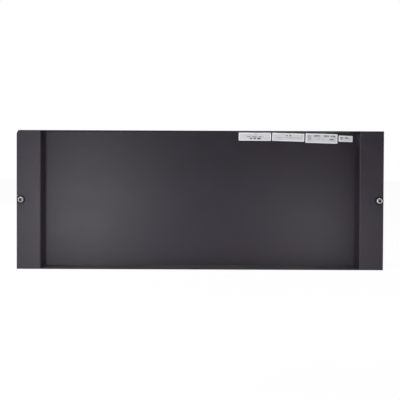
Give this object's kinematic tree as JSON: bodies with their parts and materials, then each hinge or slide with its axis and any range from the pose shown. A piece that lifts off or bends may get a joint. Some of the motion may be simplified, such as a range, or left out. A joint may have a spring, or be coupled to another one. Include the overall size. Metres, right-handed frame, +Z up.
{
  "type": "blanking panel",
  "caption": "Recessed sheet-steel blanking panel that closes an empty space in a wide equipment rack, with slotted ears, rack screws on washers and plain paper labels.",
  "frame": {"origin": "midway between the rack screws, at half height, in the plane of the ears' back faces", "axes": "+X across the rack to the viewer's right, +Y into the rack, +Z up; the open front faces -Y"},
  "size_m": [0.5842, 0.0305, 0.2214],
  "materials": {
    "powder_coat": "charcoal powder coat, fine texture, satin",
    "zinc_steel": "bright zinc plate",
    "black_nylon": "moulded, matt",
    "label_paper": "matt paper with plain grey print bars"
  },
  "bodies": {
    "root": {"panel": "powder_coat", "rack_screws": "zinc_steel", "screw_washers": "black_nylon", "small_label": "label_paper", "tall_label": "label_paper", "middle_label": "label_paper", "left_label": "label_paper"}
  },
  "joints": []
}
